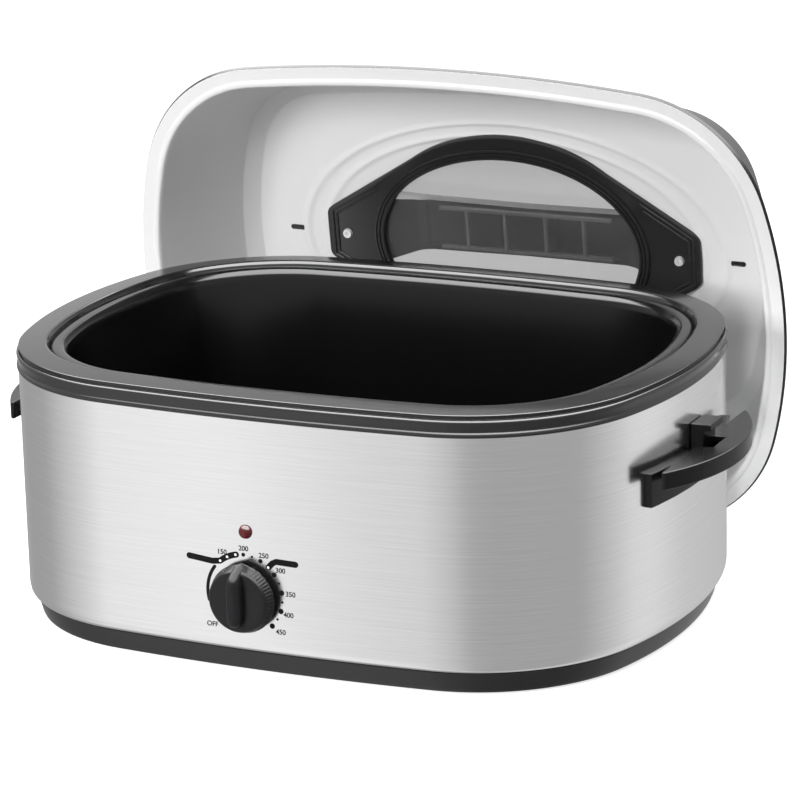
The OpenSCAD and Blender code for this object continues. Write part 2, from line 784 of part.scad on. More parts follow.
// The frame's plate: an oval that runs out into a tapered tab at each screw
module frame_plan() {
    edge = 50;
    a = glass_half_len + ring_w;
    b = glass_half_dep + ring_w + plate_w;
    tab = screw_reach + 18;
    polygon(oval(a + 1, b));
    polygon([
        [tab - 3, -22], [tab, -18], [tab, 18], [tab - 3, 22], [a * cos(edge), b * sin(edge)],
        [-a * cos(edge), b * sin(edge)], [3 - tab, 22], [-tab, 18], [-tab, -18], [3 - tab, -22],
        [-a * cos(edge), -b * sin(edge)], [a * cos(edge), -b * sin(edge)]
    ]);
}

frame_z = lid_deep - lap - frame_t;

module window_frame() {
    color("#242426") window_place() difference() {
        union() {
            translate([0, 0, frame_z]) linear_extrude(frame_t) difference() {
                frame_plan();
                polygon(oval(glass_half_len, glass_half_dep));
            }
            oval_ring(glass_half_len, glass_half_dep, ring_w - 2, frame_z - 3, 4);
        }
        // The glass sits in a rebate of the frame
        translate([0, 0, glass_z - lap]) linear_extrude(glass_t + 1) polygon(oval(glass_half_len + 3.8, glass_half_dep + 3.8));
        screw_spots() translate([0, 0, frame_z - 1]) cylinder(r = lid_screw_r + 0.1, h = 10);
    }
}

// Side view of the lid handle: two feet, two rising legs and a flat bar
foot_in = screw_reach - 14;
foot_out = screw_reach + 16;
bar_half = screw_reach - 52;
handle_low = lid_deep + lid_t + lap;
handle_top = handle_low + bridge_h;

module lid_handle() {
    color("#242426") window_place() difference() {
        intersection() {
            translate([0, bridge_w, 0]) rotate([90, 0, 0]) linear_extrude(2 * bridge_w) polygon([
                [-foot_out, handle_low], [-foot_in, handle_low], [-bar_half - 3, handle_top - bridge_t - 4],
                [-bar_half + 8, handle_top - bridge_t], [bar_half - 8, handle_top - bridge_t],
                [bar_half + 3, handle_top - bridge_t - 4], [foot_in, handle_low], [foot_out, handle_low],
                [foot_out - 2, handle_low + 9], [bar_half + 16, handle_top - 6], [bar_half, handle_top],
                [-bar_half, handle_top], [-bar_half - 16, handle_top - 6], [2 - foot_out, handle_low + 9]
            ]);
            translate([0, 0, handle_low - 1]) linear_extrude(bridge_h + 2) polygon([
                [-foot_out - 1, -27], [-foot_in - 6, -31], [-bar_half, -bridge_w / 2 - 1], [0, -bridge_w / 2],
                [bar_half, -bridge_w / 2 - 1], [foot_in + 6, -31], [foot_out + 1, -27],
                [foot_out + 1, 27], [foot_in + 6, 31], [bar_half, bridge_w / 2 + 1], [0, bridge_w / 2],
                [-bar_half, bridge_w / 2 + 1], [-foot_in - 6, 31], [-foot_out - 1, 27]
            ]);
        }
        // The bar is hollow from below, with two cross ribs
        for (x = [[3 - bar_half, -26], [-23, 23], [26, bar_half - 3]])
            span([x[0], -bridge_w / 2 + 3, handle_top - bridge_t - 1], [x[1], bridge_w / 2 - 3, handle_top - 3]);
        screw_spots() translate([0, 0, handle_low - 1]) cylinder(r = lid_screw_r + 0.1, h = 11);
    }
}

module lid_screws() {
    color("silver") window_place() screw_spots() difference() {
        union() {
            translate([0, 0, frame_z - 2.6]) cylinder(r1 = lid_screw_r + 1.6, r2 = lid_screw_r + 2.2, h = 2.4);
            translate([0, 0, frame_z - 0.3]) cylinder(r = lid_screw_r, h = 14);
        }
        for (a = [0, 90]) rotate([0, 0, a]) translate([-2, -0.45, frame_z - 3]) cube([4, 0.9, 1.6]);
    }
}

// ---------- what is drawn ----------

outer_shell();
base_ring();
bottom_plate();
feet();
base_screws();
rim_ring();
heat_well();
well_studs();
insulation_blanket();
heating_band();
band_clamps();
element_terminals();
control_heat_shield();
thermostat();
thermostat_bracket();
shaft_nut();
thermostat_shaft();
control_knob();
pilot_lamp_lens();
pilot_lamp_body();
handle();  // right_handle
mirror([1, 0, 0]) handle();  // left_handle
handle_bracket();  // right_handle_bracket
mirror([1, 0, 0]) handle_bracket();  // left_handle_bracket
lid_rest();  // right_lid_rest
mirror([1, 0, 0]) lid_rest();  // left_lid_rest
handle_screws();
cord_inlet();
terminal_block();
internal_leads();
roasting_pan();
lid_shell();
window_gasket();
window_glass();
window_frame();
lid_handle();
lid_screws();
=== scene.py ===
"""Electric roaster oven: looks, light and camera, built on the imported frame. Sizes in millimetres."""

import math

import bmesh
import bpy
import numpy as np
from mathutils import Matrix, Vector


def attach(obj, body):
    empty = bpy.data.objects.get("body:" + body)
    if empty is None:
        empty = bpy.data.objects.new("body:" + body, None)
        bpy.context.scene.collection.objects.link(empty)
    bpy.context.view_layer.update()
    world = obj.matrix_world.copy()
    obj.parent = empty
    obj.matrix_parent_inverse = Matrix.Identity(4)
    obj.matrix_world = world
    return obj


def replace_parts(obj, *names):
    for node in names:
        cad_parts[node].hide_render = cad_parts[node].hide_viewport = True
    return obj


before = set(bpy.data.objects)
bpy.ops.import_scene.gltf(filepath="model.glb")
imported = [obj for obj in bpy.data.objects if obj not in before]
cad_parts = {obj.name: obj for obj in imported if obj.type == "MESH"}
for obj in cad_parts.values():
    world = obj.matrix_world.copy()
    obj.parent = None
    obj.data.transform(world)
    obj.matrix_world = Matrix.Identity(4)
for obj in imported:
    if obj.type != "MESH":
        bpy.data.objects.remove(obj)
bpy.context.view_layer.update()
MM = 0.001

# ---------- outlines ----------

END_R = 359.0
FACE_R = 1509.0
ARC_STEPS = (14, 36, 17)


def plan(half_len, half_dep, corner_r):
    """Centres C, radii R and directions D round an outline of tangent arcs: a ring is C + (R + g) D."""
    end = np.array([half_len - END_R, 0.0])
    face = np.array([0.0, half_dep - FACE_R])
    gap = np.linalg.norm(end - face)
    r1, r2 = FACE_R - corner_r, END_R - corner_r
    along = (gap**2 + r1**2 - r2**2) / (2 * gap)
    across = math.sqrt(r1**2 - along**2)
    u = (end - face) / gap
    v = np.array([-u[1], u[0]])
    corner = max((face + u * along + v * across, face + u * along - v * across), key=lambda p: min(p))
    a = math.atan2(corner[1] - end[1], corner[0] - end[0])
    b = math.atan2(corner[1] - face[1], corner[0] - face[0])
    n_end, n_corner, n_face = ARC_STEPS
    t = np.concatenate([
        np.linspace(0, a, n_end, False),
        np.linspace(a, b, n_corner, False),
        np.linspace(b, math.pi / 2, n_face),
    ])
    n = np.array(ARC_STEPS)
    c = np.repeat([end, corner, face], n, axis=0)
    r = np.repeat([END_R, corner_r, FACE_R], n)
    d = np.stack([np.cos(t), np.sin(t)], 1)
    parts = []
    for sx, sy in ((1, 1), (-1, 1), (-1, -1), (1, -1)):
        s = np.array([sx, sy])
        q = np.hstack([c * s, r[:, None], d * s])
        parts.append(q[:-1] if sx * sy > 0 else q[:0:-1])
    ring = np.vstack(parts)
    return ring[:, 0:2], ring[:, 2:3], ring[:, 3:5]


BODY = plan(260.0, 200.0, 136.0)
LID = plan(279.0, 190.0, 115.0)


def ring(outline, growth):
    """An outline's points, grown outwards."""
    c, r, d = outline
    return c + (r + growth) * d


def at_height(points, z):
    """Flat points put at a height: one height for all, or one for each."""
    return np.column_stack([points, np.broadcast_to(z, len(points))])


def oval(a, b, t):
    """Points of an oval with half axes a and b."""
    return np.stack([a * np.cos(t), b * np.sin(t)], -1)


def bow(x):
    """How far the bowed front falls back at x."""
    return FACE_R - np.sqrt(FACE_R**2 - np.square(x))


# ---------- profiles ----------

BEND_STEPS = 4


def softened(points, radius, closed=False):
    """A path with rounded bends: p = (1-t)^2 A + 2 t (1-t) P + t^2 B, A and B on the two sides of P."""
    p = np.asarray(points, float)
    before, after = np.roll(p, 1, 0), np.roll(p, -1, 0)
    da, db = before - p, after - p
    la, lb = np.linalg.norm(da, axis=1, keepdims=True), np.linalg.norm(db, axis=1, keepdims=True)
    cut = np.minimum(radius, np.minimum(la, lb) * 0.48)
    a = p + da / la * cut
    b = p + db / lb * cut
    t = np.linspace(0, 1, BEND_STEPS + 1)[None, :, None]
    curve = (1 - t) ** 2 * a[:, None] + 2 * t * (1 - t) * p[:, None] + t**2 * b[:, None]
    if closed:
        return curve.reshape(-1, 2)
    return np.vstack([p[:1], curve[1:-1].reshape(-1, 2), p[-1:]])


def beside(path, t):
    """The copy of a path at distance t on its left."""
    d = np.gradient(path, axis=0)
    d /= np.linalg.norm(d, axis=1, keepdims=True)
    return path + t * np.stack([-d[:, 1], d[:, 0]], 1)


def sheet(path, t):
    """A closed profile of thickness t whose outer face is the path."""
    return np.vstack([path, beside(path, t)[::-1]])


def bend(centre, r, a0, a1, n):
    """A round bend as profile points, angles in degrees."""
    t = np.radians(np.linspace(a0, a1, n))
    return np.array(centre) + r * np.stack([np.cos(t), np.sin(t)], 1)


# ---------- meshes ----------

WELD = 0.002
SHARP = 35


def new_piece(name, verts, faces, body, mats, sharp=SHARP, index=None):
    """A piece from points in millimetres, with outward faces and smooth shading up to an edge angle."""
    mesh = bpy.data.meshes.new(name)
    mesh.from_pydata((np.asarray(verts, float) * MM).tolist(), [], [list(f) for f in faces])
    if index is not None:
        mesh.polygons.foreach_set("material_index", np.asarray(index, np.int32))
    b = bmesh.new()
    b.from_mesh(mesh)
    bmesh.ops.remove_doubles(b, verts=b.verts, dist=WELD * MM)
    bmesh.ops.recalc_face_normals(b, faces=b.faces)
    b.to_mesh(mesh)
    b.free()
    return dressed(name, mesh, body, mats, sharp)


def dressed(title, mesh, body, mats, sharp):
    """A mesh as a piece of the object, with its finish and the body it rides on."""
    obj = bpy.data.objects.new(title.replace(" ", "_"), mesh)
    bpy.context.scene.collection.objects.link(obj)
    for m in mats if isinstance(mats, list) else [mats]:
        mesh.materials.append(m)
    mesh.shade_smooth()
    mesh.set_sharp_from_angle(angle=math.radians(sharp))
    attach(obj, body)
    return obj


def grid_faces(rows, cols, loop_rows, loop_cols=True):
    """Quads between neighbouring points of a grid of rows by columns."""
    i = np.arange(rows if loop_rows else rows - 1)[:, None]
    j = np.arange(cols if loop_cols else cols - 1)[None, :]
    k, l = (i + 1) % rows, (j + 1) % cols
    return np.stack([i * cols + j, k * cols + j, k * cols + l, i * cols + l], -1).reshape(-1, 4)


def swept(outline, profile):
    """Points and quads of a closed profile of (growth, height) carried round an outline."""
    rows = [at_height(ring(outline, g), z) for g, z in profile]
    return np.vstack(rows), grid_faces(len(profile), len(outline[0]), True)


def bowl(outline, path, t):
    """A bowl of a sheet: the path from its floor's edge to its rim, both faces, closed to the middle."""

    def closing(row):
        """Rings from the floor's edge in to its middle."""
        return [row * [s, s, 1] for s in (0.97, 0.6, 0.25, 0.0)]

    rows = [at_height(ring(outline, g), z) for g, z in sheet(path, t)]
    rows = closing(rows[0])[::-1] + rows + closing(rows[-1])
    return np.vstack(rows), grid_faces(len(rows), len(outline[0]), False)


def lathe(profile, centre):
    """Points and quads of a (radius, distance forward) profile turned round an axis along -Y."""
    sides = 64
    t = np.linspace(0, 2 * np.pi, sides, False)
    p = np.asarray(profile, float)
    x = centre[0] + p[:, :1] * np.cos(t)
    z = centre[2] + p[:, :1] * np.sin(t)
    y = centre[1] - p[:, 1:] + 0 * t
    return np.stack([x, y, z], -1).reshape(-1, 3), grid_faces(len(p), sides, False)


def drilled(obj, holes):
    """Cuts round holes: each is a centre, a radius, a length and the axis it runs along."""
    for centre, r, length, axis in holes:
        b = bmesh.new()
        turn = Vector((0, 0, 1)).rotation_difference(Vector(axis)).to_matrix().to_4x4()
        place = Matrix.Translation(Vector(centre) * MM) @ turn
        bmesh.ops.create_cone(
            b, cap_ends=True, segments=40, radius1=r * MM, radius2=r * MM, depth=length * MM, matrix=place
        )
        mesh = bpy.data.meshes.new("cutter")
        b.to_mesh(mesh)
        b.free()
        cutter = bpy.data.objects.new("cutter", mesh)
        bpy.context.scene.collection.objects.link(cutter)
        cut = obj.modifiers.new("hole", "BOOLEAN")
        cut.operation = "DIFFERENCE"
        cut.solver = "EXACT"
        cut.object = cutter
        bpy.context.view_layer.update()
        done = bpy.data.meshes.new_from_object(obj.evaluated_get(bpy.context.evaluated_depsgraph_get()))
        obj.modifiers.clear()
        old = obj.data
        obj.data = done
        bpy.data.meshes.remove(old)
        bpy.data.objects.remove(cutter)
        bpy.data.meshes.remove(mesh)


def edged(node, name, body, mat, width):
    """A moulding with the form of its CAD node and rounded edges."""
    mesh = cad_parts[node].data.copy()
    mesh.materials.clear()
    b = bmesh.new()
    b.from_mesh(mesh)
    bmesh.ops.remove_doubles(b, verts=b.verts, dist=0.005 * MM)
    bmesh.ops.dissolve_limit(b, angle_limit=math.radians(1), verts=b.verts, edges=b.edges)
    b.to_mesh(mesh)
    b.free()
    obj = dressed(name, mesh, body, mat, 40)
    soft = obj.modifiers.new("edges", "BEVEL")
    soft.width = width * MM
    soft.segments = 3
    soft.limit_method = "ANGLE"
    soft.angle_limit = math.radians(28)
    soft.harden_normals = True
    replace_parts(obj, node)


def tube(path, r):
    """Points and faces of a round bar along points, closed at both ends."""
    sides = 10
    p = np.asarray(path, float)
    d = np.gradient(p, axis=0)
    d /= np.linalg.norm(d, axis=1, keepdims=True)
    up = np.where(np.abs(d[:, 2:]) > 0.9, [[1.0, 0, 0]], [[0, 0, 1.0]])
    v = np.cross(d, up)
    v /= np.linalg.norm(v, axis=1, keepdims=True)
    w = np.cross(d, v)
    t = np.linspace(0, 2 * np.pi, sides, False)[None, :, None]
    body = p[:, None] + r * (np.cos(t) * v[:, None] + np.sin(t) * w[:, None])
    verts = body.reshape(-1, 3)
    faces = grid_faces(len(p), sides, False).tolist()
    faces += [list(range(sides))[::-1], list(range((len(p) - 1) * sides, len(p) * sides))]
    return verts, faces


def joined(parts):
    """Several (points, faces) as one."""
    verts, faces, at = [], [], 0
    for v, f in parts:
        verts.append(v)
        faces += [[i + at for i in q] for q in (f.tolist() if isinstance(f, np.ndarray) else f)]
        at += len(v)
    return np.vstack(verts), faces


# ---------- materials ----------

ROUGH_SPREAD = 0.05


def finish(name, colour, rough, metal=0.0, grain=0.0, scale=300.0, specular=0.5):
    """A plain finish. With grain, a fine noise varies its roughness and dents it a little."""
    m = bpy.data.materials.new(name)
    m.use_nodes = True
    n, l = m.node_tree.nodes, m.node_tree.links
    s = n["Principled BSDF"]
    s.inputs["Base Color"].default_value = (*colour, 1)
    s.inputs["Roughness"].default_value = rough
    s.inputs["Metallic"].default_value = metal
    s.inputs["Specular IOR Level"].default_value = specular
    if grain:
        place = n.new("ShaderNodeTexCoord")
        noise = n.new("ShaderNodeTexNoise")
        noise.inputs["Scale"].default_value = scale
        noise.inputs["Detail"].default_value = 3
        l.new(place.outputs["Object"], noise.inputs["Vector"])
        span = n.new("ShaderNodeMapRange")
        span.inputs["To Min"].default_value = rough - ROUGH_SPREAD
        span.inputs["To Max"].default_value = rough + ROUGH_SPREAD
        l.new(noise.outputs["Fac"], span.inputs["Value"])
        l.new(span.outputs["Result"], s.inputs["Roughness"])
        dent = n.new("ShaderNodeBump")
        dent.inputs["Strength"].default_value = grain
        dent.inputs["Distance"].default_value = 0.0002
        l.new(noise.outputs["Fac"], dent.inputs["Height"])
        l.new(dent.outputs["Normal"], s.inputs["Normal"])
    return m


def brushed(name, colour, rough):
    """Sheet steel with long level brush lines."""
    m = bpy.data.materials.new(name)
    m.use_nodes = True
    n, l = m.node_tree.nodes, m.node_tree.links
    s = n["Principled BSDF"]
    s.inputs["Metallic"].default_value = 1.0
    place = n.new("ShaderNodeTexCoord")
    stretch = n.new("ShaderNodeMapping")
    stretch.inputs["Scale"].default_value = (14, 14, 2600)
    l.new(place.outputs["Object"], stretch.inputs["Vector"])
    lines = n.new("ShaderNodeTexNoise")
    lines.inputs["Scale"].default_value = 1.0
    lines.inputs["Detail"].default_value = 5
    lines.inputs["Roughness"].default_value = 0.7
    l.new(stretch.outputs["Vector"], lines.inputs["Vector"])
    tint = n.new("ShaderNodeMapRange")
    tint.inputs["From Min"].default_value = 0.25
    tint.inputs["From Max"].default_value = 0.75
    tint.inputs["To Min"].default_value = 0.9
    tint.inputs["To Max"].default_value = 1.07
    l.new(lines.outputs["Fac"], tint.inputs["Value"])
    shade = n.new("ShaderNodeVectorMath")
    shade.operation = "SCALE"
    shade.inputs[0].default_value = colour
    l.new(tint.outputs["Result"], shade.inputs["Scale"])
    l.new(shade.outputs["Vector"], s.inputs["Base Color"])
    span = n.new("ShaderNodeMapRange")
    span.inputs["To Min"].default_value = rough - ROUGH_SPREAD
    span.inputs["To Max"].default_value = rough + ROUGH_SPREAD
    l.new(lines.outputs["Fac"], span.inputs["Value"])
    l.new(span.outputs["Result"], s.inputs["Roughness"])
    return m


STEEL = brushed("brushed steel wall", (0.83, 0.83, 0.83), 0.2)
BASE = finish("black base moulding", (0.008, 0.008, 0.009), 0.24, grain=0.05)
RIM = finish("charcoal rim enamel", (0.013, 0.013, 0.0135), 0.12)
PAN = finish("pan enamel", (0.003, 0.003, 0.003), 0.16, grain=0.03, scale=900, specular=0.32)
# painted highlight: the grip's ribs are its black plastic, coloured light grey here for the sheen on their
# glossy edges
RIB_PAINTED_HIGHLIGHT = finish("grip rib painted highlight", (0.12, 0.12, 0.122), 0.2)
# painted highlight: the lid's screws are the same bright steel, made partly matt light grey so the lamps
# light them in place of a reflected glint
LID_SCREW_PAINTED_GLINT = finish("lid screw", (0.8, 0.8, 0.79), 0.3, metal=0.4)
KNOB = finish("knob plastic", (0.013, 0.013, 0.014), 0.26, specular=0.14)
HANDLE = finish("handle plastic", (0.008, 0.008, 0.0085), 0.22, specular=0.14)
LID_IN = finish("lid inside enamel", (0.7, 0.7, 0.7), 0.3, specular=0.3)
LID_OUT = finish("lid outside enamel", (0.005, 0.005, 0.005), 0.25, specular=0.3)
FRAME = finish("window frame plastic", (0.018, 0.018, 0.019), 0.2)
SCREW = finish("bright screw", (0.75, 0.75, 0.74), 0.25, metal=1.0)
ZINC = finish("zinc sheet", (0.62, 0.63, 0.64), 0.4, metal=1.0, grain=0.1, scale=60)
WELL = finish("well sheet", (0.66, 0.66, 0.65), 0.4, metal=1.0)
FOOT = finish("foot rubber", (0.015, 0.015, 0.015), 0.8)
BLANKET = finish("glass fibre", (0.72, 0.68, 0.52), 0.95, grain=0.6, scale=900)
MICA = finish("band mica", (0.32, 0.29, 0.22), 0.6, grain=0.3, scale=200)
CERAMIC = finish("ceramic body", (0.78, 0.76, 0.68), 0.5)
GREY = finish("lamp holder", (0.12, 0.12, 0.12), 0.5)
LEAD = finish("lead sleeve", (0.35, 0.03, 0.02), 0.5)
SEAL = finish("seal silicone", (0.03, 0.03, 0.03), 0.6)
PRINT = finish("dial print", (0.005, 0.005, 0.005), 0.5, specular=0.1)
DOTS = finish("dial dots", (0.85, 0.85, 0.83), 0.5)


def glassy(name, colour, rough, ior, weight=1.0):
    """A clear or tinted transparent finish."""
    m = finish(name, colour, rough)
    s = m.node_tree.nodes["Principled BSDF"]
    s.inputs["Transmission Weight"].default_value = weight
    s.inputs["IOR"].default_value = ior
    return m


PANE = glassy("window pane", (0.75, 0.75, 0.75), 0.0, 1.45, 0.955)
LENS = glassy("lamp lens", (0.085, 0.002, 0.004), 0.06, 1.49, 0.15)

NODE_FINISH = {
    "outer_shell": STEEL, "base_ring": BASE, "bottom_plate": ZINC, "feet": FOOT, "base_screws": SCREW,
    "rim_ring": RIM, "heat_well": WELL, "well_studs": ZINC, "insulation_blanket": BLANKET,
    "heating_band": MICA, "band_clamps": ZINC, "element_terminals": ZINC, "control_heat_shield": ZINC,
    "thermostat": CERAMIC, "thermostat_bracket": ZINC, "shaft_nut": ZINC, "thermostat_shaft": ZINC,
    "control_knob": KNOB, "pilot_lamp_lens": LENS, "pilot_lamp_body": GREY, "right_handle": HANDLE,
    "left_handle": HANDLE, "right_handle_bracket": HANDLE, "left_handle_bracket": HANDLE,
    "right_lid_rest": HANDLE, "left_lid_rest": HANDLE, "handle_screws": SCREW, "cord_inlet": FOOT,
    "terminal_block": CERAMIC, "internal_leads": LEAD, "roasting_pan": PAN, "lid_shell": LID_IN,
    "window_gasket": SEAL, "window_glass": PANE, "window_frame": FRAME, "lid_handle": HANDLE,
    "lid_screws": LID_SCREW_PAINTED_GLINT,
}
for node_name, node_mat in NODE_FINISH.items():
    node_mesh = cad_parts[node_name].data
    node_mesh.materials.clear()
    node_mesh.materials.append(node_mat)

# ---------- the body ----------

FRONT_Y = -200.0
DIAL_X, DIAL_Z = -10.5, 61.0
LAMP_X, LAMP_Z = -9.0, 110.0
INLET_Z = 45.0


def steel_wall():
    """The brushed wall: rounded in at the foot, turned in under the rim, with three holes: for the knob's
    shaft, the lamp and the cord inlet."""
    path = softened([
        [-5.5, 18.2], [-2.5, 19], [-0.66, 21.2], [0, 25.2], [0, 202.6], [-1, 204.0], [-4.4, 204.4],
        [-4.9, 205.5], [-5.2, 207.6], [-6.5, 208.6], [-12, 209.2],
    ], 0.8)
    v, f = swept(BODY, sheet(path, 0.7))
    obj = new_piece("steel wall", v, f, "body", STEEL)
    drilled(obj, [
        ((DIAL_X, FRONT_Y, DIAL_Z), 5.3, 12, (0, 1, 0)),
        ((LAMP_X, FRONT_Y, LAMP_Z), 5.3, 12, (0, 1, 0)),
        ((-260, 0, INLET_Z), 7.3, 12, (1, 0, 0)),
    ])
    obj.data.shade_smooth()
    obj.data.set_sharp_from_angle(angle=math.radians(SHARP))
    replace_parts(obj, "outer_shell")


def base_skirt():
    """The black ring that the wall stands on."""
    path = softened([
        [-12, 1.5], [-9.5, 1.9], [-8.6, 4], [-5, 17.4], [-8, 17.8], [-8, 30], [-10.5, 30], [-10.5, 17],
        [-11.5, 14], [-14, 6], [-25, 6], [-25, 3.5], [-14.5, 3.5], [-14.5, 1.5],
    ], 0.7, closed=True)
    v, f = swept(BODY, path)
    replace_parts(new_piece("base skirt", v, f, "body", BASE), "base_ring")


def top_rim():
    """The rim, from below: flared foot, hollowed skirt, shoulder, deep groove, sloping top, step down and
    ledge."""
    path = softened([
        [0.6, 193.5], [1.2, 193.9], [1.3, 195.2], [0.9, 196.4], [0.2, 197.6], [0.15, 199.0],
        [0.5, 201.0], [0.9, 202.6], [1.1, 204.0], [0.8, 205.2], [0.0, 206.2], [-2.6, 205.8],
        [-2.6, 208.5], [-0.7, 208.8], [-0.6, 209.5], [-0.9, 209.75], [-3.1, 209.9],
        [-20.4, 211.1], [-22, 210.6], [-23.2, 208.7], [-24.4, 205.1], [-25.4, 204.1], [-33.4, 203.7],
    ], 0.45)
    v, f = swept(BODY, sheet(path, 0.8))
    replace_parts(new_piece("top rim", v, f, "body", RIM), "rim_ring")


def pan():
    """The lift-out pan: floor, bend, drawn wall, neck and rolled rim."""
    slope = math.degrees(math.atan(22 / 157))  # the drawn wall leans 22 mm in 157
    path = np.vstack([
        bend((-81.4, 61.1), 22, -90, -slope, 12),
        softened([
            [-58.9, 62.5], [-37.4, 200.1], [-36.4, 204.1], [-33.8, 206.5], [-32.2, 207.1], [-28.2, 207.1],
            [-26.3, 206.5], [-25.6, 204.9],
        ], 1.2)[2:],
    ])
    v, f = bowl(BODY, path, 1.0)
    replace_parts(new_piece("pan", v, f, "pan", PAN), "roasting_pan")


def plate_marks():
    """Dial print on the bowed front: dots, the two bars and the arc before the first number."""
    lift = 0.12
    shift = [-1.0, 1.2]
    ring_r = 30.2
    black, white = [], []

    def flat(points, up):
        """A thin plate of an outline of (x, z) points, laid on the bowed wall."""
        p = np.asarray(points, float) + shift
        n = len(p)
        y = FRONT_Y + bow(p[:, 0])
        front = np.stack([p[:, 0], y - up, p[:, 1]], 1)
        back = np.stack([p[:, 0], y + 0.2, p[:, 1]], 1)
        faces = [list(range(n)), list(range(2 * n - 1, n - 1, -1))]
        faces += [[i, i + n, (i + 1) % n + n, (i + 1) % n] for i in range(n)]
        return np.vstack([front, back]), faces

    def dot(clock, r):
        """A round mark at a clockwise angle from the top of the dial."""
        a = math.radians(clock)
        t = np.linspace(0, 2 * np.pi, 24, False)
        middle = np.array([DIAL_X + ring_r * math.sin(a), DIAL_Z + ring_r * math.cos(a)])
        return middle + r * np.stack([np.cos(t), np.sin(t)], 1)

    def band(path, half):
        """A round-ended stripe along (x, z) points."""
        p = np.asarray(path, float)
        d = np.gradient(p, axis=0)
        d /= np.linalg.norm(d, axis=1, keepdims=True)
        side = np.stack([-d[:, 1], d[:, 0]], 1) * half
        t = np.linspace(0, np.pi, 10)[1:-1]
        caps = []
        for at, u in ((p[-1], d[-1]), (p[0], -d[0])):
            w = np.array([u[1], -u[0]])
            caps.append(at + half * (np.cos(t)[:, None] * w + np.sin(t)[:, None] * u))
        return np.vstack([p - side, caps[0], (p + side)[::-1], caps[1]])

    def turn(a0, a1, n=12):
        """Points on a circle round the dial, clockwise angles from the top."""
        a = np.radians(np.linspace(a0, a1, n))
        return np.stack([DIAL_X + ring_r * np.sin(a), DIAL_Z + ring_r * np.cos(a)], 1)

    for clock, r in ((0, 1.5), (27, 1.7), (54, 1.9), (81, 2.1), (108, 2.1), (135, 2.1)):
        black.append(flat(dot(clock, r), lift))
    for clock in (13.5, 67.5, 94.5, 121.5):
        black.append(flat(dot(clock, 0.95), lift))
    black.append(flat(band(turn(-52, -104), 1.3), lift))
    black.append(flat(band(np.vstack([[[-55.0, 85.4], [-36, 83.6]], turn(-39, -11, n=8)]), 2.3), lift))
    black.append(flat(band([[9.6, 84.0], [12.6, 87.2], [15.6, 88.8], [31.0, 88.3]], 2.3), lift))
    for clock in (-39, -26, -12, 41):
        white.append(flat(dot(clock, 1.0), lift + 0.06))
    v, f = joined(black)
    new_piece("dial print", v, f, "body", PRINT)
    v, f = joined(white)
    new_piece("dial dots", v, f, "body", DOTS)


def dial_numbers():
    """The temperatures round the knob, and off, as thin plates that follow the wall."""
    places = {
        "150": (-28.9, 92.5), "200": (-11.2, 97), "250": (4.9, 93.3), "300": (17.9, 83.5),
        "350": (25.3, 66.3), "400": (23.2, 50.4), "450": (16.5, 36.8), "OFF": (-38.9, 36.5),
    }
    for word, (x, z) in places.items():
        curve = bpy.data.curves.new("number", "FONT")
        curve.body = word
        curve.size = 5.3 * MM
        curve.extrude = 0.15 * MM
        curve.offset = 0.08 * MM
        curve.align_x = "CENTER"
        curve.align_y = "CENTER"
        holder = bpy.data.objects.new("number", curve)
        bpy.context.scene.collection.objects.link(holder)
        bpy.context.view_layer.update()
        mesh = bpy.data.meshes.new_from_object(holder.evaluated_get(bpy.context.evaluated_depsgraph_get()))
        bpy.data.objects.remove(holder)
        bpy.data.curves.remove(curve)
        co = np.empty(len(mesh.vertices) * 3)
        mesh.vertices.foreach_get("co", co)
        co = co.reshape(-1, 3) / MM
        px = co[:, 0] + x
        out = np.stack([px, FRONT_Y + bow(px) - co[:, 2], co[:, 1] + z], 1) * MM
        mesh.vertices.foreach_set("co", out.ravel())
        mesh.update()
        dressed("number " + word, mesh, "body", PRINT, 30)


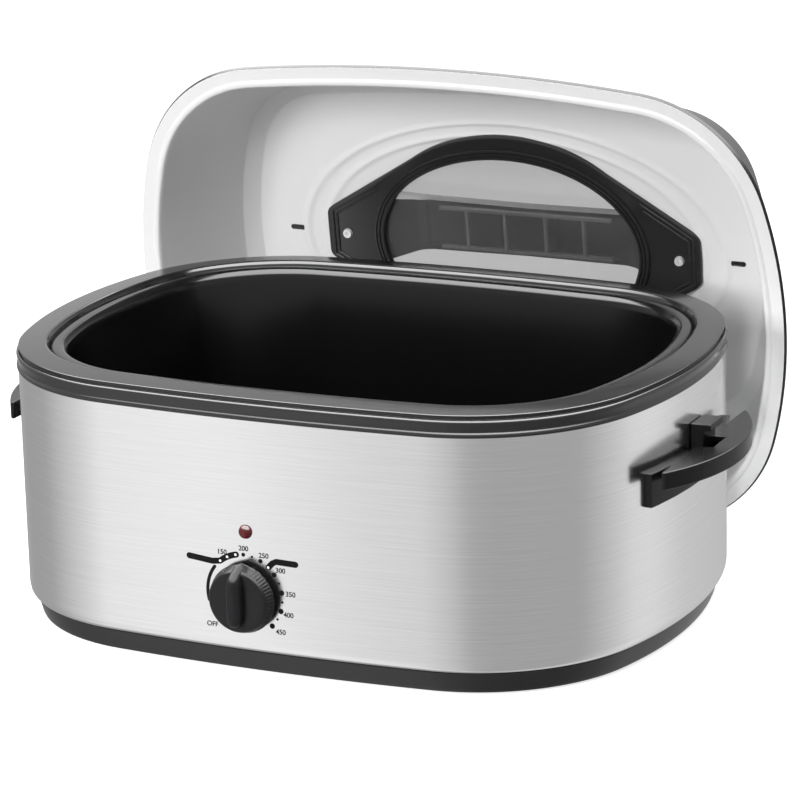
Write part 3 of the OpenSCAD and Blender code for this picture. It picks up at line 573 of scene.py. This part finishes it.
def knob():
    """The knob: a knurled cone with a pointed nose at the top of its back edge, and a rounded grip ridge.
    The nose is r = r0 / cos(lean - off), two lines that touch the circle r0, and fades out to the front.
    The ridge's outline is x = w sign(cos s) |cos s|^0.7, z = long sign(sin s) |sin s|^0.55."""
    back = -204.8
    r0, nose, nose_deep = 25.6, 27.0, 8.2

    def placed(x, z, depth):
        """Points round the dial's axis, that far in front of the knob's back."""
        return np.stack([DIAL_X + x, np.full(len(x), back - depth), DIAL_Z + z], 1)

    n = 480
    t = np.linspace(0, 2 * np.pi, n, False)
    off = np.abs((t - np.pi / 2 + np.pi) % (2 * np.pi) - np.pi)
    lean = math.acos(r0 / nose)
    base = np.where(off < lean, r0 / np.cos(lean - off), r0)
    knurl = np.clip(np.cos(t * 60), 0, 1) ** 2 * np.where(off < 0.5, 0, 1)
    rows = []
    for shrink, depth, cut in (
        (3.2, 0, 0), (0.4, 0, 0), (0, 0.5, 0), (0, 1.6, 0), (0.3, 2.2, 0.4), (1.9, 7.4, 0.4),
        (2.2, 8.2, 0), (2.9, 9.4, 0), (3.6, 9.9, 0), (4.8, 10.2, 0), (8, 10.4, 0), (16, 10.4, 0),
        (25.6, 10.4, 0),
    ):
        pointed = max(0.0, 1 - depth / nose_deep)
        r = np.maximum(pointed * base + (1 - pointed) * r0 - shrink - cut * knurl, 0)
        rows.append(placed(r * np.cos(t), r * np.sin(t), depth))
    hollow = [(3.2, 0), (3.2, 5), (19.5, 5.4), (19.5, 0), (22.5, 0), (22.5, 9), (25.6, 9)]
    under = []
    for shrink, depth in hollow[::-1]:
        r = r0 - shrink
        under.append(placed(r * np.cos(t), r * np.sin(t), depth))
    skirt = np.vstack(under[:-1] + rows), grid_faces(len(under) - 1 + len(rows), n, False)
    m = 96
    s = np.linspace(0, 2 * np.pi, m, False)
    wide, start = 6.0, 6
    ridge = []
    for inset, depth in (
        (0, start), (0, 12), (0.15, 14.5), (0.6, 16.4), (1.5, 17.8), (2.8, 18.7), (4.2, 19.1), (5.98, 19.2),
    ):
        w = wide - inset
        above = 26.2 - inset * 0.9 - (depth - start) * 0.5
        below = 18.6 - inset * 0.9 - (depth - start) * 0.1
        long = np.where(np.sin(s) > 0, above, below)
        x = w * np.sign(np.cos(s)) * np.abs(np.cos(s)) ** 0.7
        z = long * np.sign(np.sin(s)) * np.abs(np.sin(s)) ** 0.55
        ridge.append(placed(x, z, depth))
    sides = grid_faces(len(ridge), m, False).tolist()
    sides.append(list(range((len(ridge) - 1) * m, len(ridge) * m)))
    sides.append(list(range(m))[::-1])
    v, f = joined([skirt, (np.vstack(ridge), sides)])
    obj = new_piece("temperature knob", v, f, "knob", KNOB)
    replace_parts(obj, "control_knob")


def lamp():
    """The pilot lamp's dome, with a small collar."""
    dome = [[0, -3.0], [5, -3.0], [5, 0.6]]
    dome += [[5 * math.cos(a), 0.6 + 3.4 * math.sin(a)] for a in np.radians(np.linspace(8, 90, 12))]
    dome[-1][0] = 0
    v, f = lathe(dome, (LAMP_X, FRONT_Y, LAMP_Z))
    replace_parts(new_piece("pilot lamp", v, f, "body", LENS), "pilot_lamp_lens")


steel_wall()
base_skirt()
top_rim()
pan()
plate_marks()
dial_numbers()
knob()
lamp()
for side in ("right", "left"):
    edged(side + "_handle", side + " grip plate", "body", HANDLE, 1.6)
    edged(side + "_handle_bracket", side + " wall strip", "body", HANDLE, 1.2)
    edged(side + "_lid_rest", side + " lid post", "body", HANDLE, 1.0)

# ---------- the lid ----------

LEAN = math.radians(7.0)
DEEP = 106.0
EDGE_H = 3.0
LID_X, LID_Y, LID_HALF = -16.0, 207.0, 190.0
PANE_AT = np.array([-7.0, 6.0])
PANE_HALF = (113.0, 75.0)
HOLE_HALF = (117.0, 79.0)
RIDGE_HALF = (186.0, 104.0)


def stand(p):
    """Points of the lid, modelled with its opening down, put on its long edge behind the body."""
    p = np.asarray(p, float)
    y = p[:, 1] + LID_HALF
    out = [
        LID_X - p[:, 0],
        LID_Y + p[:, 2] * math.cos(LEAN) - y * math.sin(LEAN),
        -EDGE_H * math.sin(LEAN) + y * math.cos(LEAN) + p[:, 2] * math.sin(LEAN),
    ]
    return np.stack(out, 1)


def lid():
    """The lid's sheet, from the middle out. The top runs from the window's opening in rings
    p = (1-u) edge + u hole, with two low ridges z = -h exp(-((q-c)/w)^2), q = |(x/a, y/b)|. Then come the
    bevelled corner, the drawn wall, the bead, the flange and its turned-up edge."""
    top_in = -63.5
    path = np.vstack([
        [[top_in, DEEP]],
        softened([
            [-60, DEEP], [-56.8, DEEP], [-44.3, 96.6], [-42.4, 90.1], [-18.2, 5], [-17.4, 1.6],
            [-16.0, -1.1], [-14.2, -1.6], [-12.4, -1.1], [-10.9, 0.5], [-1.2, 0], [0, EDGE_H],
        ], 0.9),
    ])
    n = len(LID[0])
    edge = ring(LID, top_in)
    t = np.arctan2((edge[:, 1] - PANE_AT[1]) / HOLE_HALF[1], (edge[:, 0] - PANE_AT[0]) / HOLE_HALF[0])
    hole = PANE_AT + oval(*HOLE_HALF, t)
    height, width = 1.5, 0.018
    thick = 1.0
    rings = 76
    inner, outer = [], []
    for u in np.linspace(1, 0, rings)[:-1]:
        p = (1 - u) * edge + u * hole
        q = np.hypot(*((p - PANE_AT) / RIDGE_HALF).T)
        lift = -height * sum(np.exp(-(((q - centre) / width) ** 2)) for centre in (1, 0.9))
        inner.append(at_height(p, DEEP + lift))
        outer.append(at_height(p, DEEP + thick + lift))
    inner += [at_height(ring(LID, g), z) for g, z in path]
    outer += [at_height(ring(LID, g), z) for g, z in beside(path, thick)]
    rows = inner + outer[::-1]
    faces = grid_faces(len(rows), n, True)
    # the outer face is black, and so are the last rows of the inner one, on the turned-up edge
    first_dark = len(inner) - 4
    dark = np.repeat(np.arange(len(rows)) >= first_dark, n).astype(int)
    obj = new_piece(
        "lid sheet", stand(np.vstack(rows)), faces, "lid", [LID_IN, LID_OUT], 30, dark
    )
    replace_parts(obj, "lid_shell")


TAB_CORNER = (162.0, 22.0)
TAB_SHOULDER = (79.06, 72.77)


def frame_edge(angle):
    """Distance of the window frame's outer edge: the farther of an oval, 1/r^2 = (cos/a)^2 + (sin/b)^2,
    and the polygon of its tabs, where a ray r d meets an edge p + s e."""
    a, b = 124.0, 95.0
    far = 1 / np.sqrt((np.cos(angle) / a) ** 2 + (np.sin(angle) / b) ** 2)
    (cx, cy), (sx, sy) = TAB_CORNER, TAB_SHOULDER
    q = [(cx, -cy), (165, -18), (165, 18), (cx, cy), (sx, sy)]
    p = np.array(q + [(-x, y) for x, y in q[:0:-1]] + [(-cx, -cy), (-sx, -sy), (sx, -sy)], float)
    e = np.roll(p, -1, 0) - p
    d = np.stack([np.cos(angle), np.sin(angle)], 1)
    over = d[:, None, 0] * e[None, :, 1] - d[:, None, 1] * e[None, :, 0]
    over = np.where(np.abs(over) < 1e-9, 1e-9, over)
    r = (p[None, :, 0] * e[None, :, 1] - p[None, :, 1] * e[None, :, 0]) / over
    s = (p[None, :, 0] * d[:, None, 1] - p[None, :, 1] * d[:, None, 0]) / over
    ok = (s >= -1e-6) & (s <= 1 + 1e-6) & (r > 0)
    return np.maximum(far, np.where(ok, r, 0).max(1))


def window_moulding():
    """The black frame: three ribs round the pane, a flat plate out to the tabs, and two ribs along each
    tab's edge."""
    n = 720
    t = np.linspace(0, 2 * np.pi, n, False)
    ribs_end = 10
    rim = oval(PANE_HALF[0] + ribs_end, PANE_HALF[1] + ribs_end, t)
    angle = np.arctan2(rim[:, 1], rim[:, 0])
    far = frame_edge(angle)
    kernel = np.ones(5) / 5  # rounds the tabs' corners
    far = np.convolve(np.concatenate([far[-2:], far, far[:2]]), kernel, "valid")
    edge = np.stack([far * np.cos(angle), far * np.sin(angle)], 1)
    out = edge / np.linalg.norm(edge, axis=1, keepdims=True)
    ribs = [
        (3.8, 0.3), (3.8, 2.3), (0, 2.3), (0, 6.9), (0.4, 7.3), (2.3, 7.3), (2.8, 6.1), (3.5, 6.1),
        (4.0, 7.3), (5.3, 7.3), (5.8, 6.1), (6.5, 6.1), (7.0, 7.3), (8.0, 7.2), (8.6, 6.4), (9.2, 4.4),
    ]
    plate = 4.3
    rows = [at_height(oval(PANE_HALF[0] + g, PANE_HALF[1] + g, t), DEEP - drop) for g, drop in ribs]
    rows += [at_height((1 - v) * rim + v * edge, DEEP - plate) for v in (0.15, 0.6)]
    for g, drop in ((-1.2, plate), (-0.4, 4.0), (0, 3.2), (0, 0.3)):
        rows.append(at_height(edge + g * out, DEEP - drop))
    parts = [(np.vstack(rows), grid_faces(len(rows), n, True))]
    corner, shoulder = np.array(TAB_CORNER), np.array(TAB_SHOULDER)
    d = (shoulder - corner) / np.linalg.norm(shoulder - corner)
    inwards = np.array([-d[1], d[0]])
    ribs_x = 163.5
    for sx in (-1, 1):
        for inset, reach in ((4.0, 52.0), (7.6, 47.0)):
            near = (ribs_x - inset - corner[0] - inwards[0] * inset) / d[0]
            upper = [corner + inwards * inset + d * along for along in (reach, near + 2, near)]
            p = np.array(upper + [q * [1, -1] for q in upper[::-1]])
            parts.append(tube(at_height(p * [sx, 1], DEEP - 4.5), 1.0))
    verts, faces = joined(parts)
    verts[:, :2] += PANE_AT
    obj = new_piece("window moulding", stand(verts), faces, "lid", FRAME, 40)
    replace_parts(obj, "window_frame")


def vents():
    """The two small steam slots in the lid's top: a rounded lip round a sunk floor."""
    parts = []
    n = 40
    from_middle = 195
    half, r = 3.8, 1.7
    t = np.linspace(0, 2 * np.pi, n, False)
    slot = np.stack([half * np.sign(np.cos(t)) + r * np.cos(t), r * np.sin(t)], 1)
    lip = ((1.25, 0.2), (1.25, -0.4), (1.0, -0.6), (0.85, -0.3), (0.02, -0.2), (0.02, 0.2))
    for sx in (-1, 1):
        middle = PANE_AT + [sx * from_middle, 0]
        rows = [at_height(middle + slot * k, DEEP + z) for k, z in lip]
        parts.append((np.vstack(rows), grid_faces(len(lip), n, True)))
    v, f = joined(parts)
    new_piece("steam vents", stand(v), f, "lid", FRAME, 40)


def grip_ribs():
    """The two long lips and four cross ribs on the inner side of the lid's grip, seen through the pane,
    coloured light grey as a painted highlight for the sheen on their edges.
    """
    spans = [(-76, 76, -18, -15.6), (-76, 76, 15.6, 18)]
    spans += [(x - 1.2, x + 1.2, -15.6, 15.6) for x in (-52, -18, 18, 52)]
    parts = []
    for x0, x1, y0, y1 in spans:
        corners = np.array([(x0, y0), (x1, y0), (x1, y1), (x0, y1)], float) + PANE_AT
        lid_side = at_height(corners, DEEP + 26.8)
        grip_side = at_height(corners, DEEP + 31.0)
        faces = [[0, 1, 2, 3], [7, 6, 5, 4]] + [[i, i + 4, (i + 1) % 4 + 4, (i + 1) % 4] for i in range(4)]
        parts.append((np.vstack([lid_side, grip_side]), faces))
    v, f = joined(parts)
    # the ribs' light grey is a painted highlight on the black grip plastic
    new_piece("grip ribs", stand(v), f, "lid", RIB_PAINTED_HIGHLIGHT, 30)


lid()
window_moulding()
vents()
grip_ribs()
edged("lid_handle", "lid grip", "lid", HANDLE, 1.6)

# ---------- stage, light and camera ----------

MIX_A, MIX_B, MIX_RESULT = 6, 7, 2  # the colour sockets of a mix node


def floor():
    """A wide pale counter that is white in the picture and keeps the object's soft shadow."""
    mesh = bpy.data.meshes.new("counter")
    h = 8
    mesh.from_pydata([(-h, -h, 0), (h, -h, 0), (h, h, 0), (-h, h, 0)], [], [(0, 1, 2, 3)])
    obj = bpy.data.objects.new("counter", mesh)
    bpy.context.scene.collection.objects.link(obj)
    m = bpy.data.materials.new("white counter")
    m.use_nodes = True
    n, l = m.node_tree.nodes, m.node_tree.links
    n.remove(n["Principled BSDF"])
    matt = n.new("ShaderNodeBsdfDiffuse")
    matt.inputs["Color"].default_value = (0.8, 0.8, 0.8, 1)
    glow = n.new("ShaderNodeEmission")
    ray = n.new("ShaderNodeLightPath")
    level = n.new("ShaderNodeMath")
    level.operation = "MULTIPLY"
    level.inputs[1].default_value = 0.75
    l.new(ray.outputs["Is Camera Ray"], level.inputs[0])
    l.new(level.outputs[0], glow.inputs["Strength"])
    both = n.new("ShaderNodeAddShader")
    l.new(matt.outputs[0], both.inputs[0])
    l.new(glow.outputs[0], both.inputs[1])
    l.new(both.outputs[0], n["Material Output"].inputs["Surface"])
    mesh.materials.append(m)
    obj.visible_glossy = False


def surroundings():
    """White to the camera and through the pane, grey for soft light. Reflections see a studio: below
    the horizon windows and dark walls by compass direction, above it a pale wall, and high up a lamp."""
    world = bpy.data.worlds.new("studio")
    bpy.context.scene.world = world
    world.use_nodes = True
    n, l = world.node_tree.nodes, world.node_tree.links
    place = n.new("ShaderNodeTexCoord")
    parts = n.new("ShaderNodeSeparateXYZ")
    l.new(place.outputs["Generated"], parts.inputs[0])
    flip = n.new("ShaderNodeMath")
    flip.operation = "MULTIPLY"
    flip.inputs[1].default_value = -1
    l.new(parts.outputs["Y"], flip.inputs[0])
    angle = n.new("ShaderNodeMath")
    angle.operation = "ARCTAN2"
    l.new(parts.outputs["X"], angle.inputs[0])
    l.new(flip.outputs[0], angle.inputs[1])
    span = n.new("ShaderNodeMapRange")
    span.inputs["From Min"].default_value = -math.pi
    span.inputs["From Max"].default_value = math.pi
    l.new(angle.outputs[0], span.inputs["Value"])
    ramp = n.new("ShaderNodeValToRGB")
    stops = [
        (-180, 0.57), (-120, 0.38), (-90, 0.42), (-56, 0.76), (-30, 1.08), (-18, 0.78), (0, 0.66),
        (15, 0.46), (30, 0.43), (85, 0.43), (134, 0.85), (150, 0.66), (180, 0.57),
    ]
    e = ramp.color_ramp.elements
    while len(e) > 1:
        e.remove(e[-1])
    for i, (deg, v) in enumerate(stops):
        stop = e[0] if i == 0 else e.new((deg + 180) / 360)
        stop.position = (deg + 180) / 360
        stop.color = (v, v, v, 1)
    l.new(span.outputs["Result"], ramp.inputs["Fac"])

    def above(low, high):
        """A factor that goes from 0 to 1 between two heights of the direction seen."""
        rise = n.new("ShaderNodeMapRange")
        rise.inputs["From Min"].default_value = low
        rise.inputs["From Max"].default_value = high
        l.new(parts.outputs["Z"], rise.inputs["Value"])
        return rise.outputs["Result"]

    def mixed(factor, first, second):
        """From the first to the second, by the factor. Each is a grey value or a node's output."""
        mix = n.new("ShaderNodeMix")
        mix.data_type = "RGBA"
        l.new(factor, mix.inputs[0])
        for at, colour in ((MIX_A, first), (MIX_B, second)):
            if isinstance(colour, float):
                mix.inputs[at].default_value = (colour, colour, colour, 1)
            else:
                l.new(colour, mix.inputs[at])
        return mix.outputs[MIX_RESULT]

    ray = n.new("ShaderNodeLightPath").outputs
    reflected = mixed(above(-0.06, 0.12), ramp.outputs["Color"], 0.95)
    reflected = mixed(above(0.45, 0.7), reflected, 15.0)
    seen = mixed(ray["Is Glossy Ray"], 0.36, reflected)
    seen = mixed(ray["Is Camera Ray"], seen, 1.0)
    seen = mixed(ray["Is Transmission Ray"], seen, 1.0)
    l.new(seen, n["Background"].inputs["Color"])


def aimed(data, place, target):
    """A lamp at a place that looks at a point and isn't seen in reflections."""
    obj = bpy.data.objects.new(data.name, data)
    bpy.context.scene.collection.objects.link(obj)
    away = Vector(target) - Vector(place)
    obj.matrix_world = Matrix.Translation(place) @ away.to_track_quat("-Z", "Y").to_matrix().to_4x4()
    obj.visible_glossy = False


def area(name, place, target, size, power):
    """A soft lamp, wide by high, that looks at a point."""
    data = bpy.data.lights.new(name, "AREA")
    data.shape = "RECTANGLE"
    data.size, data.size_y = size
    data.energy = power
    aimed(data, place, target)


def strip_light():
    """A narrow lamp for the strip of the lid that the body would leave in shadow."""
    data = bpy.data.lights.new("lid strip lamp", "SPOT")
    data.energy = 150
    data.spot_size = math.radians(6.5)
    data.spot_blend = 1.0
    data.shadow_soft_size = 0.12
    aimed(data, (1.0, -2.4, 0.6), (0.29, 0.23, 0.1))


FOCAL_PX, PICTURE_PX = 3992.037, 800


def camera():
    """The photograph's camera."""
    yaw, pitch, roll = 0.442060799, 0.280309337, -0.0272735834
    back = Vector((math.sin(yaw) * math.cos(pitch), -math.cos(yaw) * math.cos(pitch), math.sin(pitch)))
    right = (-back).cross(Vector((0, 0, 1))).normalized()
    up = right.cross(-back)
    x = right * math.cos(roll) + up * math.sin(roll)
    y = up * math.cos(roll) - right * math.sin(roll)
    data = bpy.data.cameras.new("photo camera")
    data.sensor_width = 36
    data.lens = FOCAL_PX / PICTURE_PX * data.sensor_width
    data.clip_end = 100
    obj = bpy.data.objects.new("photo camera", data)
    bpy.context.scene.collection.objects.link(obj)
    turn = Matrix((x, y, back)).transposed().to_4x4()
    obj.matrix_world = Matrix.Translation((1.258277, -2.612719, 0.988977)) @ turn
    bpy.context.scene.camera = obj


floor()
surroundings()
area("soft key", (-0.85, -2.5, 1.15), (0, 0.2, 0.25), (1.1, 0.9), 72)
area("soft top", (0.4, 0.6, 2.6), (0, 0, 0.1), (2.2, 2.2), 30)
strip_light()
camera()
bpy.context.scene.view_settings.view_transform = "Standard"
